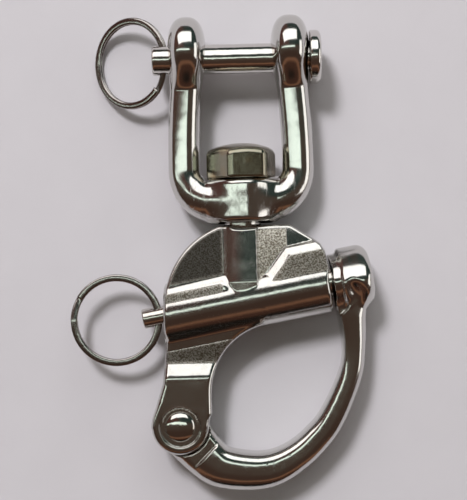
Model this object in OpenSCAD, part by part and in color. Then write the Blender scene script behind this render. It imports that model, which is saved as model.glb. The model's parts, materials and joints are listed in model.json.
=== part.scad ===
// Jaw swivel snap shackle in polished cast stainless steel, made for an 8 mm clevis pin.
//
// Every piece is drawn in the shackle's own plane: X runs along the clevis pin, Y along the
// swivel axis with the jaw at the positive end, and the origin is the centre of the pin.
// lay() then tips the whole shackle about the pin until its ears and its barrel touch the
// same flat surface, which is how it rests.

/* [Jaw] */
// Clear gap between the two ears
jaw_gap = 17.6; // [16:0.1:20]
// Thickness of an ear along the pin
ear_t = 10.3; // [9:0.1:11]
// Reach of an ear beyond the pin axis, away from the jaw's base
ear_r = 11.5; // [11:0.1:12.5]
// Reach of an ear from the pin axis towards the jaw's base
ear_low = 8.8; // [8:0.1:10]
// Height of an ear across the swivel axis
ear_h = 20; // [19.8:0.1:23]
// Distance from the pin axis to the floor of the jaw
jaw_depth = 32.5; // [31:0.5:38]
// Thickness of the jaw's base along the swivel axis
base_t = 11.6; // [9.5:0.1:13]
// Thickness of the jaw's base across the swivel axis
base_h = 12; // [11:0.1:14]
// Radius of the round boss in the middle of the base
base_boss_r = 8.8; // [8:0.1:8.8]
// Diameter of a leg
leg_d = 8.5; // [7.5:0.1:9]
// How far a leg spreads outwards on its way from the ear to the base
leg_spread = 1.5; // [0.8:0.1:2.5]
// Centreline radius of the corner between leg and base
corner_r = 8.5; // [7.5:0.1:9]

/* [Clevis pin and split rings] */
// Diameter of the clevis pin
pin_d = 8; // [7:0.1:8.5]
// Diameter of the pin's round head
pin_head_d = 14.5; // [12:0.1:16]
// Thickness of the pin's round head
pin_head_t = 3.1; // [2:0.1:4]
// Metal left beyond the ring hole at the end of the clevis pin
pin_land = 1.3; // [1:0.1:3]
// Outside diameter of a split ring
ring_od = 25; // [23:0.5:28]
// Width of the clevis pin's ring as a share of its length, as it is pressed slightly oval
ring_oval = 0.9; // [0.86:0.01:1]
// Width of the ring's wire across the turn
wire_w = 1.9; // [1.6:0.1:2.1]
// Thickness of one turn of the ring's wire
wire_t = 0.85; // [0.7:0.05:0.95]
// Gap between the two turns of a ring
turn_gap = 0.07; // [0.05:0.01:0.15]
// Play between a split ring and the hole it passes through
ring_play = 0.22; // [0.2:0.01:0.3]

/* [Swivel] */
// Gap between the jaw's base and the body
swivel_gap = 1; // [0.8:0.1:2]
// Diameter of the swivel bolt's shank
bolt_d = 9; // [8:0.1:9.4]
// Width of the bolt's hexagon across flats
hex_af = 17; // [16:0.5:18]
// Amount by which the hexagon's corners are turned off
hex_relief = 0.35; // [0.2:0.05:0.6]
// Height of the bolt's hexagon
hex_h = 9.5; // [7:0.5:11]
// Turn of the hexagon about the swivel axis, in degrees
hex_turn = 49; // [0:1:60]
// Metal left between the end of the bolt and the plunger's bore
thread_wall = 2.6; // [2:0.1:5]
// Radius of the body's round boss around the thread
swivel_boss_r = 6.2; // [6:0.1:6.8]
// Radius of the collar on which the jaw turns
collar_r = 7.4; // [7:0.1:8.4]
// Height of the collar's flange on the body
flange_h = 1.6; // [1:0.1:2.5]

/* [Body] */
// Distance from the body's flat top to the barrel axis, along the swivel axis
body_l = 20; // [19:0.1:24]
// Lean of the barrel from square to the swivel axis, in degrees
barrel_lean = 10; // [8:0.5:12]
// Outside radius of the barrel
barrel_r = 8.4; // [7.8:0.1:8.6]
// Distance of the barrel's left face from the swivel axis
barrel_left = 21.8; // [21.5:0.1:24]
// Length of the barrel right of the swivel axis
barrel_right = 23.1; // [22.5:0.1:23.5]
// Rounding of the barrel's ends
barrel_edge = 1.2; // [0.6:0.1:1.6]
// Thickness of the flat web
web_t = 9.8; // [8:0.1:10.4]
// Radius of the round shoulder on the left of the web
shoulder_r = 22.8; // [21:0.2:24]
// Thickness of the raised cheek on the right of the web
cheek_t = 12.6; // [10:0.1:14]
// Width of the flat top right of the swivel axis
top_right = 12.8; // [11:0.1:14]
// Drop of the sloping shoulder from the flat top to the barrel's right end
slope_drop = 4.6; // [3.5:0.1:6]

/* [Arm and hinge] */
// Distance of the hinge from the swivel axis
lug_out = 18.2; // [17:0.1:19]
// Distance from the barrel axis to the hinge, along the swivel axis
arm_l = 33.7; // [32.5:0.1:38]
// Radius of the hinge lug
lug_r = 7.7; // [7.4:0.05:8.2]
// Thickness of the hinge lug
lug_t = 12; // [11:0.1:13]
// Distance of the arm's inner edge from the hinge
arm_in = 8.7; // [8.4:0.1:9.2]
// Radius of the arm's inner edge
arm_round = 18.7; // [18:0.1:19]
// Width of the slot in the lug
slot_t = 5.4; // [4.6:0.1:6]
// Diameter of the hinge rivet
rivet_d = 5; // [4:0.1:5.6]
// Radius of the rivet's domed head
rivet_head_r = 4.1; // [3.5:0.1:4.6]
// Height of the rivet's domed head
rivet_head_h = 1.7; // [1.2:0.1:2]
// Radius of the dished recess around the rivet head
dish_r = 5.7; // [5:0.1:6.2]
// Depth of the dished recess
dish_depth = 1.1; // [0.6:0.1:1.4]

/* [Bail] */
// Width of the bail's bar beside the hinge
bail_w = 13.4; // [12.8:0.1:14]
// Thickness of the bail's bar
bail_t = 10.8; // [10:0.1:11.6]
// Greatest distance of the bail's centreline from the line between hinge and boss
bail_bow = 26.4; // [24:0.2:29]
// Distance of the bail's boss centre from the swivel axis, along the barrel
boss_reach = 29.6; // [29.5:0.1:33]
// Length of the bail's boss along the barrel
boss_l = 10.8; // [10:0.1:11]
// Radius of the bail's boss
boss_r = 8.4; // [7.8:0.1:8.6]
// Radius of the boss's flat pad that faces the barrel
pad_r = 7.3; // [6.5:0.1:7.8]
// Height of the boss's flat pad
pad_h = 2.2; // [1:0.1:2.5]
// Rounding of the boss's outer end
boss_round = 3.2; // [2:0.1:4]
// Depth of the socket that takes the plunger
socket_depth = 5.4; // [4.5:0.1:6.5]

/* [Plunger] */
// Diameter of the plunger's rod
rod_d = 5.4; // [5:0.1:5.8]
// Diameter of the plunger's nose
nose_d = 8; // [7.4:0.1:8.4]
// How far the nose reaches into the bail's boss
engagement = 4.4; // [3.5:0.1:4.8]
// Travel of the plunger when the ring is pulled
plunger_travel = 5.5; // [5.2:0.1:6.5]
// Metal left beyond the ring hole at the end of the rod
rod_land = 2.6; // [1:0.1:4]
// Wall left at the closed end of the barrel's bore
bore_wall = 6; // [4:0.5:8]
// Gap left between the spring's turns, in all, with the ring pulled
spring_spare = 7.3; // [5:0.1:9]
// Wire diameter of the spring
spring_wire = 0.8; // [0.6:0.05:0.85]
// Turns of the spring
spring_turns = 9; // [6:1:11]

/* [Fits] */
// Radial clearance between a pin or shaft and its bore
running_gap = 0.08; // [0.05:0.01:0.1]
// Gap between faces that bear on each other
seat_gap = 0.15; // [0.1:0.01:0.25]
// Sideways clearance of the bail's tongue in its slot, each side
tongue_gap = 0.15; // [0.1:0.01:0.25]
// Gap between the bail's body and what it passes as it swings
swing_gap = 0.5; // [0.4:0.05:0.8]

/* [Hidden] */
$fn = 64;

// --- derived places and sizes ---------------------------------------------------------

ear_x = (jaw_gap + ear_t) / 2;
leg_x = ear_x + leg_spread;
base_y = -jaw_depth - base_t / 2;
corner_y = base_y + corner_r;
leg_top = -ear_r / 4;

pin_bore_r = pin_d / 2 + running_gap;
// Power of the superellipse that an ear's section follows: 2 is a lens and more is a disc
ear_power = 2.6;
// Outer face of an ear where it meets the pin's bore
ear_face = ear_x + ear_t / 2 * pow(1 - pow(pin_bore_r / ear_r, ear_power), 1 / ear_power);

ring_out = ring_od / 2;
ring_in = ring_out - wire_w;
ring_mid = (ring_out + ring_in) / 2;
turn_pitch = wire_t + turn_gap;
ring_stack = turn_pitch + wire_t;
// Inner reach of the curved wire over a shaft of diameter d
function ring_chord(d) = sqrt(pow(ring_in, 2) - pow(d / 2, 2));
// Radius of the cross-hole that lets both turns through a shaft of diameter d
function ring_hole(d) = norm([(ring_out - ring_chord(d)) / 2, ring_stack / 2]) + ring_play;
// Distance from the cross-hole to the ring's centre
function ring_arm(d) = (ring_out + ring_chord(d)) / 2;
// Reach of the ring beyond the cross-hole's axis, just outside the shaft
function ring_reach(d) =
    norm([sqrt(pow(ring_out, 2) - pow(d / 2, 2)) - ring_arm(d), ring_stack / 2]);

pin_hole_r = ring_hole(pin_d);
pin_hole_x = -(ear_face + seat_gap + ring_reach(pin_d));
pin_end = pin_hole_x - pin_hole_r - pin_land;
pin_head_x = ear_face + seat_gap;
// Distance from the clevis pin's cross-hole to its ring's centre
pin_ring_arm = ring_oval * ring_arm(pin_d);
// Droop of the clevis ring: its far side lies on the surface below the ears
ring_droop = asin((ear_h / 2 - ring_stack / 2) / (pin_ring_arm + ring_oval * ring_out)) - 0.3;

nose_bore_r = nose_d / 2 + running_gap;
top_y = -jaw_depth - base_t - swivel_gap;
barrel_drop = body_l - top_y;
thread_l = body_l - nose_bore_r - thread_wall;
bolt_end_y = top_y - thread_l + seat_gap;
bolt_bore_r = bolt_d / 2 + running_gap;
hex_y = -jaw_depth + seat_gap;

barrel_dir = [cos(barrel_lean), sin(barrel_lean)];
function on_barrel(t) = [t * barrel_dir[0], -barrel_drop + t * barrel_dir[1]];
lug = [-lug_out, -barrel_drop - arm_l];
boss = on_barrel(boss_reach);
tongue_t = slot_t - 2 * tongue_gap;
rivet_bore_r = rivet_d / 2 + running_gap;

rod_hole_r = rod_d / 2 + running_gap;
// Room for the ring beside the barrel's left face, which leans to the barrel's axis
ring_lean_gap = seat_gap + rod_d / 2 * sin(barrel_lean);
rod_ring_r = ring_hole(rod_d);
rod_ring_t = -barrel_left / barrel_dir[0] - ring_lean_gap - ring_reach(rod_d);
rod_end_t = rod_ring_t - rod_ring_r - rod_land;
bore_end_t = -barrel_left + bore_wall;
pad_t = boss_reach - boss_l / 2;
nose_tip_t = pad_t + engagement;
spring_l = spring_turns * spring_wire + plunger_travel + spring_spare;
spring_end_t = bore_end_t + spring_l;
// In-plane turn of the plunger's ring about its hole, taken up by the ring's play
ring_skew = 6;

// Tip of the whole shackle about the pin axis: ears and barrel touch one surface
lay_tilt = asin((ear_h / 2 - barrel_r) / (barrel_drop + barrel_left * tan(barrel_lean)));

module lay() {
    rotate([lay_tilt, 0, 0]) children();
}

// Places children with Z along the barrel, at distance t from the swivel axis
module along_barrel(t) {
    translate(concat(on_barrel(t), [0])) rotate([0, 90, barrel_lean]) children();
}

// Places children with Z along the swivel axis, at height y
module along_swivel(y) {
    translate([0, y, 0]) rotate([-90, 0, 0]) children();
}

// Places children with Z along the clevis pin, at distance x
module along_pin(x) {
    translate([x, 0, 0]) rotate([0, 90, 0]) children();
}

// --- shapes used by several pieces ------------------------------------------------------

// Cylinder of height h with both rims chamfered by edge
module chamfered(r, h, edge) {
    cylinder(r1 = r - edge, r2 = r, h = edge);
    translate([0, 0, edge]) cylinder(r = r, h = h - 2 * edge);
    translate([0, 0, h - edge]) cylinder(r1 = r, r2 = r - edge, h = edge);
}

// Cylinder of height h with rims rounded by low at the bottom and high at the top
module rounded(r, h, low, high) {
    rotate_extrude() polygon(concat(
        [[0, 0]],
        [for (a = [-90 : 15 : 0]) [r - low + low * cos(a), low + low * sin(a)]],
        [for (a = [0 : 15 : 90]) [r - high + high * cos(a), h - high + high * sin(a)]],
        [[0, h]]));
}

// Spherical cap of base radius r and height h
module dome(r, h) {
    ball_r = (r * r + h * h) / (2 * h);
    rotate_extrude() intersection() {
        translate([0, h - ball_r]) circle(ball_r, $fn = 128);
        square([r, h]);
    }
}

function sign_pow(v, p) = sign(v) * pow(abs(v), p);

// Closed skin over a list of rings of points, with flat ends
module skin(rings) {
    n = len(rings[0]);
    m = len(rings);
    sides = [for (k = [0 : m - 2]) for (i = [0 : n - 1])
        [k * n + i, (k + 1) * n + i, (k + 1) * n + (i + 1) % n, k * n + (i + 1) % n]];
    start = [for (i = [0 : n - 1]) i];
    end = [for (i = [n - 1 : -1 : 0]) (m - 1) * n + i];
    polyhedron(points = [for (ring = rings) each ring], faces = concat([start], sides, [end]));
}

// Bar through stations [x, y, half width, half thickness] in the XY plane. Its section is a
// superellipse with the given power: 2 is an ellipse and more is squarer.
module bar(stations, power, sides) {
    last = len(stations) - 1;
    skin([for (k = [0 : last])
        let (
            a = stations[max(k - 1, 0)],
            b = stations[min(k + 1, last)],
            s = stations[k],
            along = [b[0] - a[0], b[1] - a[1]] / norm([b[0] - a[0], b[1] - a[1]])
        )
        [for (i = [0 : sides - 1])
            let (
                w = s[2] * sign_pow(cos(360 * i / sides), 2 / power),
                h = s[3] * sign_pow(sin(360 * i / sides), 2 / power)
            )
            [s[0] - along[1] * w, s[1] + along[0] * w, h]]]);
}

// Point at u of 0 to 1 between entries k and k + 1 of a smooth curve through the list p
function curve(p, k, u) =
    let (a = p[max(k - 1, 0)], b = p[k], c = p[k + 1], d = p[min(k + 2, len(p) - 1)])
    (2 * b + (c - a) * u + (2 * a - 5 * b + 4 * c - d) * u * u
        + (3 * b - a - 3 * c + d) * u * u * u) / 2;

// Split ring: two stacked turns of flat wire about Z, with one step from turn to turn.
// The step lies at -X and the two cut ends lie on either side of it.
module split_ring() {
    step = 14;
    pitch_deg = 7;
    start = step + 2;
    total = 720 - 2 * start;
    count = ceil(total / pitch_deg);
    edge = wire_t / 5;
    outline = [[wire_w / 2, wire_t / 2 - edge], [wire_w / 2 - edge, wire_t / 2],
               [edge - wire_w / 2, wire_t / 2], [-wire_w / 2, wire_t / 2 - edge],
               [-wire_w / 2, edge - wire_t / 2], [edge - wire_w / 2, -wire_t / 2],
               [wire_w / 2 - edge, -wire_t / 2], [wire_w / 2, edge - wire_t / 2]];
    skin([for (k = [0 : count])
        let (
            turn = start + total * k / count,
            rise = turn_pitch * min(max((turn - 360) / step, -1), 1) / 2
        )
        [for (i = [7 : -1 : 0])
            let (r = ring_mid + outline[i][0], a = turn + 180)
            [r * cos(a), r * sin(a), rise + outline[i][1]]]]);
}

// --- jaw ----------------------------------------------------------------------------------

// Ear: a thick disc with a full round rim, and a little longer above the pin than below it
module ear() {
    skin([for (a = [-84 : 12 : 84])
        let (
            share = sign_pow(cos(a), 2 / ear_power),
            x = ear_x + ear_t / 2 * sign_pow(sin(a), 2 / ear_power)
        )
        [for (b = [0 : 10 : 350])
            [x, share * (cos(b) > 0 ? ear_r : ear_low) * cos(b), share * ear_h / 2 * sin(b)]]]);
}

// Right half of the U, from the ear down to the middle of the base
u_half = concat(
    [for (k = [0 : 4])
        let (y = leg_top + (corner_y - leg_top) * k / 5)
        [leg_x - leg_spread * pow((y - corner_y) / (leg_top - corner_y), 2), y,
         leg_d / 2, leg_d / 2]],
    [for (a = [0 : 15 : 90])
        [leg_x - corner_r * (1 - cos(a)), corner_y - corner_r * sin(a),
         leg_d / 2 + (base_t - leg_d) / 2 * a / 90, leg_d / 2 + (base_h - leg_d) / 2 * a / 90]]);
u_other = [for (k = [len(u_half) - 1 : -1 : 0])
    [-u_half[k][0], u_half[k][1], u_half[k][2], u_half[k][3]]];

module fork() {
    lay() color("gainsboro") difference() {
        union() {
            bar(concat(u_half, u_other), 2.2, 20);
            ear();
            mirror([1, 0, 0]) ear();
            along_swivel(base_y - base_t / 2) rounded(base_boss_r, base_t, 1.6, 1.2);
        }
        along_pin(-leg_x - leg_d) cylinder(r = pin_bore_r, h = 2 * (leg_x + leg_d));
        along_swivel(base_y - base_t) cylinder(r = bolt_bore_r, h = 2 * base_t);
    }
}

module clevis_pin() {
    lay() color("silver") difference() {
        union() {
            along_pin(pin_end) chamfered(pin_d / 2, pin_head_x - pin_end + pin_head_t / 2, 0.6);
            along_pin(pin_head_x) rounded(pin_head_d / 2, pin_head_t, 0.6, 1.3);
        }
        translate([pin_hole_x, -pin_d, 0]) rotate([-90, 0, 0])
            cylinder(r = pin_hole_r, h = 2 * pin_d);
    }
}

// The ring swings about its hole; the step of the wire lies a little past the hole
module clevis_ring() {
    lay() color("dimgray") translate([pin_hole_x, 0, 0]) rotate([0, -ring_droop, 0])
        translate([-pin_ring_arm, 0, 0]) scale([ring_oval, 1, 1]) rotate([0, 0, 155]) split_ring();
}

// --- swivel -----------------------------------------------------------------------------

module swivel_bolt() {
    hex_r = hex_af / 2 / cos(30);
    shank_l = hex_y - bolt_end_y + hex_h / 2;
    lay() color("darkgray") union() {
        intersection() {
            along_swivel(hex_y) rotate([0, 0, -hex_turn]) cylinder(r = hex_r, h = hex_h, $fn = 6);
            along_swivel(hex_y) chamfered(hex_r - hex_relief, hex_h, 1.4);
        }
        along_swivel(bolt_end_y) chamfered(bolt_d / 2, shank_l, 0.8);
    }
}

// --- body -------------------------------------------------------------------------------

// Plain plate of thickness t over a polygon, centred on the shackle's plane
module plate(t, points) {
    linear_extrude(height = t, center = true) polygon(points);
}

// Flat web between swivel and barrel, round on the left and sloping on the right
module web() {
    shoulder = [shoulder_r - barrel_left + 0.2, -barrel_drop - 1.5];
    right = on_barrel(barrel_right);
    intersection() {
        translate([shoulder[0], shoulder[1], -web_t / 2]) cylinder(r = shoulder_r, h = web_t, $fn = 128);
        plate(2 * web_t, [[-2 * shoulder_r, top_y], [0, top_y], on_barrel(0),
                          on_barrel(-2 * shoulder_r)]);
    }
    plate(web_t, [[-0.1, top_y], [top_right, top_y], [right[0] - 3, top_y - slope_drop],
                  [right[0] - 0.8, top_y - slope_drop - 2.2], right, on_barrel(-0.1)]);
}

// Raised cheek beside the right end of the barrel
module cheek() {
    right = on_barrel(barrel_right);
    plate(cheek_t, [[top_right, top_y - slope_drop - 1.2],
                    [right[0] - 3.2, top_y - slope_drop - 0.4],
                    [right[0] - 1, top_y - slope_drop - 2.6], on_barrel(barrel_right - 0.2),
                    on_barrel(3)]);
}

// Curved arm from the barrel down to the hinge lug
module arm() {
    left = -barrel_left + 0.3;
    top = on_barrel(-barrel_left)[1];
    difference() {
        plate(web_t, [[left, top + barrel_edge], [left, top - barrel_r],
                      [lug[0] - lug_r * 0.57, lug[1] + lug_r * 1.5],
                      [lug[0] - lug_r * 0.8, lug[1] + lug_r * 0.8],
                      [lug[0] - lug_r * 0.95, lug[1]], [lug[0] + lug_r * 0.9, lug[1]],
                      [lug[0] + arm_in, lug[1] + lug_r * 0.4],
                      [lug[0] + arm_in, lug[1] + lug_r * 1.1],
                      [lug[0] + arm_in + arm_round * 0.45, lug[1] + arm_l * 0.62],
                      on_barrel(barrel_r / 2) + barrel_r * 0.78 * [sin(barrel_lean), -cos(barrel_lean)],
                      on_barrel(0)]);
        arm_opening();
    }
}

// The round of the opening that the arm and the bail enclose
module arm_opening() {
    translate([lug[0] + arm_in + arm_round, lug[1] + lug_r * 1.1, -lug_t])
        cylinder(r = arm_round, h = 2 * lug_t, $fn = 128);
}

// Thick pad around the hinge, with the round lug at its end
module lug_pad() {
    translate([lug[0], lug[1], -lug_t / 2]) rounded(lug_r, lug_t, 1, 1);
    difference() {
        plate(lug_t - 0.4, [[lug[0] - lug_r * 0.5, lug[1] + lug_r * 1.45],
                            [lug[0] - lug_r * 0.8, lug[1] + lug_r * 0.6], lug,
                            [lug[0] + arm_in - 0.5, lug[1] + lug_r * 0.4],
                            [lug[0] + arm_in - 0.3, lug[1] + lug_r * 1.45]]);
        arm_opening();
    }
}

// Round barrel around the plunger, with its left face parallel to the swivel axis
module barrel() {
    spare = barrel_r;
    intersection() {
        along_barrel(-barrel_left - spare)
            rounded(barrel_r, barrel_left + spare + barrel_right, barrel_edge, barrel_edge);
        translate([-barrel_left, -2 * barrel_drop, -barrel_r])
            cube([4 * barrel_left, 2 * barrel_drop, 2 * barrel_r]);
    }
}

module shackle_body() {
    lay() color("lightgray") difference() {
        union() {
            web();
            cheek();
            arm();
            lug_pad();
            barrel();
            along_swivel(on_barrel(0)[1]) cylinder(r = swivel_boss_r, h = top_y - on_barrel(0)[1]);
            along_swivel(top_y - flange_h)
                cylinder(r = collar_r, h = flange_h + swivel_gap - seat_gap);
        }
        along_barrel(bore_end_t) cylinder(r = nose_bore_r, h = barrel_left + 2 * barrel_right);
        along_barrel(-2 * barrel_left) cylinder(r = rod_hole_r, h = 2 * barrel_left);
        along_swivel(bolt_end_y - seat_gap) cylinder(r = bolt_bore_r, h = 2 * thread_l);
        translate([lug[0], lug[1], -slot_t / 2]) cylinder(r = lug_r + swing_gap, h = slot_t);
        translate([lug[0], lug[1], -lug_t]) cylinder(r = rivet_bore_r, h = 2 * lug_t);
        for (side = [0, 1]) mirror([0, 0, side])
            translate([lug[0], lug[1], lug_t / 2 - dish_depth]) cylinder(r = dish_r, h = lug_t);
    }
}

module hinge_rivet() {
    head_z = lug_t / 2 - dish_depth + seat_gap;
    lay() color("silver") translate(concat(lug, [0])) union() {
        translate([0, 0, -head_z - 0.1]) cylinder(r = rivet_d / 2, h = 2 * head_z + 0.2);
        for (side = [0, 1]) mirror([0, 0, side])
            translate([0, 0, head_z]) dome(rivet_head_r, rivet_head_h);
    }
}

// --- plunger ------------------------------------------------------------------------------

module plunger() {
    lay() color("silver") difference() {
        union() {
            along_barrel(rod_end_t) chamfered(rod_d / 2, spring_end_t + 1 - rod_end_t, 0.5);
            along_barrel(spring_end_t) chamfered(nose_d / 2, nose_tip_t - spring_end_t, 0.7);
        }
        along_barrel(rod_ring_t) rotate([-90, 0, 0])
            translate([0, 0, -rod_d]) cylinder(r = rod_ring_r, h = 2 * rod_d);
    }
}

module plunger_ring() {
    lay() color("dimgray") translate(concat(on_barrel(rod_ring_t), [0]))
        rotate([0, 0, barrel_lean - ring_skew]) translate([-ring_arm(rod_d), 0, 0])
            rotate([0, 0, 340]) split_ring();
}

// Compression spring around the rod, between the end of the bore and the nose
module plunger_spring() {
    mean_r = (rod_d + nose_d + running_gap) / 4;
    steps = 18;
    count = spring_turns * steps;
    rise = spring_l - spring_wire - 2 * seat_gap;
    lay() color("gray") along_barrel(bore_end_t + seat_gap + spring_wire / 2)
        skin([for (k = [0 : count])
            [for (i = [5 : -1 : 0])
                let (
                    r = mean_r + spring_wire / 2 * cos(60 * i),
                    a = 360 * k / steps
                )
                [r * cos(a), r * sin(a), rise * k / count + spring_wire / 2 * sin(60 * i)]]]);
}

// --- bail -----------------------------------------------------------------------------------

// Stations of the bail's curved bar, as shares: of the way from hinge to boss, of the greatest
// bow, of the bar's width beside the hinge, and of its thickness
bail_stations = [
    [-0.01, 0.14, 1, 0.93],
    [-0.01, 0.38, 0.91, 1],
    [0.01, 0.6, 0.84, 1],
    [0.1, 0.84, 0.78, 1],
    [0.19, 0.975, 0.72, 0.96],
    [0.3, 1.03, 0.63, 0.93],
    [0.41, 1.025, 0.58, 0.89],
    [0.53, 0.965, 0.54, 0.87],
    [0.71, 0.76, 0.48, 0.85],
    [0.81, 0.55, 0.48, 0.89],
    [0.91, 0.24, 0.63, 1.07],
    [0.97, 0.06, 0.78, 1.19]];

module bail_bar() {
    chord = boss - lug;
    along = chord / norm(chord);
    out = [along[1], -along[0]];
    per_span = 4;
    bar([for (k = [0 : len(bail_stations) - 2]) for (j = [0 : per_span - 1])
        let (
            s = curve(bail_stations, k, j / (per_span - 1) * (1 - 1 / per_span)),
            p = lug + chord * s[0] + out * bail_bow * s[1]
        )
        [p[0], p[1], bail_w / 2 * s[2], bail_t / 2 * s[3]]], 2.4, 20);
}

module bail() {
    lay() color("gainsboro") difference() {
        union() {
            difference() {
                bail_bar();
                for (side = [0, 1]) mirror([0, 0, side]) translate([lug[0], lug[1], tongue_t / 2])
                    cylinder(r = lug_r + swing_gap, h = lug_t);
            }
            translate([lug[0], lug[1], -tongue_t / 2]) cylinder(r = lug_r - 0.2, h = tongue_t);
            along_barrel(pad_t) chamfered(pad_r, boss_l / 2, 0.4);
            along_barrel(pad_t + pad_h) rounded(boss_r, boss_l - pad_h, 1, boss_round);
        }
        translate([lug[0], lug[1], -lug_t]) cylinder(r = rivet_bore_r, h = 2 * lug_t);
        along_barrel(pad_t - boss_l) cylinder(r = nose_bore_r, h = boss_l + socket_depth);
        // The bar stays clear of the barrel's end face
        along_barrel(barrel_right - boss_l) cylinder(r = barrel_r + swing_gap, h = boss_l + swing_gap);
    }
}

fork();
clevis_pin();
clevis_ring();
swivel_bolt();
shackle_body();
plunger();
plunger_spring();
plunger_ring();
bail();
hinge_rivet();
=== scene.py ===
# %% [markdown]
# # A jaw swivel snap shackle in polished stainless steel
#
# The shackle joins a fitting to a sail's corner. Its jaw holds the fitting on a pin, the body
# turns under the jaw on a bolt, and a hinged bail is locked shut by a spring plunger that a
# ring pulls back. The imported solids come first: they fix every size, place and joint, and the
# pieces made below are dressed versions of them.

# %% Load the solids
import json
import math

import bpy
import numpy as np
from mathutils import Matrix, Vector

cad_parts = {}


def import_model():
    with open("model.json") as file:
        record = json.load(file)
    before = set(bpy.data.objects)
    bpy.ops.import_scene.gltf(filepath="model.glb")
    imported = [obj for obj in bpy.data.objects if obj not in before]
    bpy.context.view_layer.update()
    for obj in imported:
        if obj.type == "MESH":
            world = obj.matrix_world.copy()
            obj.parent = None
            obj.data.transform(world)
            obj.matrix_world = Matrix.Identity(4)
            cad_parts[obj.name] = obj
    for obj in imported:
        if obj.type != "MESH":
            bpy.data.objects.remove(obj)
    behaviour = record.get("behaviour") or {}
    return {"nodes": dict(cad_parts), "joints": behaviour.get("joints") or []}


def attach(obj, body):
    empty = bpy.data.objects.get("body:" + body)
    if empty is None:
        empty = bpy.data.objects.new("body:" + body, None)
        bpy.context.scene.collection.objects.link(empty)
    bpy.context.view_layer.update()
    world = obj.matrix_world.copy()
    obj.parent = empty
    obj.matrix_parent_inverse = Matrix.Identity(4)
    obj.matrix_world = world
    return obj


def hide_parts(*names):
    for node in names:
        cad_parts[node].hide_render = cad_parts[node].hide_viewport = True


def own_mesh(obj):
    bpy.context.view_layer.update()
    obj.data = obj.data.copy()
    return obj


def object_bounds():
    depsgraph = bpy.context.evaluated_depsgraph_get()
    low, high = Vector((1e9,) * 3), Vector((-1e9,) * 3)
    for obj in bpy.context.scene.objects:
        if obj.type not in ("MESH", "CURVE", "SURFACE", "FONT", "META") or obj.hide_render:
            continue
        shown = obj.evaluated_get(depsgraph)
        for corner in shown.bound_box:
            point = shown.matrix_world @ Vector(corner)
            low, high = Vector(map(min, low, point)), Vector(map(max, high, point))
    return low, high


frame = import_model()
solid_box = [list(map(float, corner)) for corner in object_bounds()]
print("solids:", sorted(frame["nodes"]))
print("box of the solids, m:", solid_box)

# %% [markdown]
# ## Two frames
#
# The shackle lies on its ears and its barrel, so its own plane tips a little from the table.
# Every shape is easier to write in that plane: X along the clevis pin, Y along the swivel, Z
# across, in millimetres. `lay` then tips the points about the pin and turns them to metres,
# and `flat` brings a joint's place back. The tip is read from the swivel joint's axis.

# %% From the shackle's plane to the table
joints = {j["name"]: j for j in frame["joints"]}
swivel_axis = joints["fork_swivel"]["axis"]
TIP = math.atan2(swivel_axis[2], swivel_axis[1])


def lay(points):
    """Turns points (n, 3) about X by TIP and scales millimetres to metres."""
    x, y, z = np.moveaxis(np.asarray(points, float), -1, 0)
    c, s = math.cos(TIP), math.sin(TIP)
    return np.stack([x, y * c - z * s, z * c + y * s], -1) / 1000


def turn(vectors):
    """Turns directions (n, 3) about X by TIP."""
    return lay(vectors) * 1000


def flat(point):
    """The inverse of lay for one place: metres on the table to millimetres in the plane."""
    x, y, z = (1000 * float(v) for v in point)
    c, s = math.cos(TIP), math.sin(TIP)
    return np.array([x, y * c + z * s, z * c - y * s])


hinge = flat(joints["bail_hinge"]["pos_m"])[:2]
pin_hole = flat(joints["clevis_ring_swing"]["pos_m"])[:2]
rod_hole = flat(joints["plunger_ring_swing"]["pos_m"])[:2]
slide = -(flat(joints["plunger_slide"]["axis"]) / 1000)[:2]
ALONG = slide / np.hypot(*slide)
ACROSS = np.array([-ALONG[1], ALONG[0]])
print("tip, degrees:", round(math.degrees(TIP), 2))
print("hinge", hinge.round(2), "pin hole", pin_hole.round(2), "rod hole", rod_hole.round(2))

# %% [markdown]
# ## Sizes
#
# These are the solids' own sizes in millimetres, by the names of the pieces they belong to. Only
# the ears are a shade lower than their solid, so that their mesh stays inside its box. A bore is
# wider than its pin by PLAY all round, and ROOM is left where one casting swings past another.

# %% Sizes in millimetres
EAR_R, EAR_H, EAR_T, EAR_POWER, JAW_GAP = 11.5, 9.94, 10.3, 2.6, 17.6
EAR_X = (JAW_GAP + EAR_T) / 2
LEG_R, LEG_SPREAD, CORNER_R = 4.25, 1.5, 8.5
JAW_DEPTH, BASE_T, BASE_H, BASE_BOSS_R = 32.5, 11.6, 12.0, 8.8
BASE_Y = -JAW_DEPTH - BASE_T / 2
CORNER_Y = BASE_Y + CORNER_R
PIN_R, PIN_END, PIN_HEAD_X, PIN_HEAD_R, PIN_HEAD_T = 4.0, -23.36, 19.11, 7.25, 3.1
PIN_HOLE_R, ROD_HOLE_R = 1.83, 1.65
BOLT_R, HEX_AF, HEX_H, HEX_TURN = 4.5, 17.0, 9.5, 49.0
BOLT_END, BORE_END, HEX_GAP, HEX_DOME_R = -58.3, -58.45, 0.15, 22.0
TOP_Y, BARREL_Y = -45.1, -65.1
BARREL_R, BARREL_LEFT, BARREL_RIGHT = 8.4, 21.8, 23.1
LUG_H, LUG_R, SLOT_H, TONGUE_H = 6.0, 7.7, 2.7, 2.55
DISH_R, DISH_DEPTH, RIVET_R, RIVET_HEAD_R, RIVET_HEAD_H = 5.5, 0.8, 2.5, 4.1, 1.5
NOSE_R, ROD_R = 4.0, 2.7
ROD_END, SPRING_SEAT, SPRING_END, NOSE_TIP = -28.2, -15.8, 4.2, 28.6
PAD_T, BOSS_L, BOSS_R, PAD_R, PAD_H = 24.2, 10.8, 8.4, 7.3, 2.2
BOSS_REACH, BAIL_BOW, SOCKET_DEPTH = 29.6, 26.4, 5.4
RING_OUT, WIRE_W, WIRE_T, TURN_GAP = 12.5, 1.9, 0.85, 0.07
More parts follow.
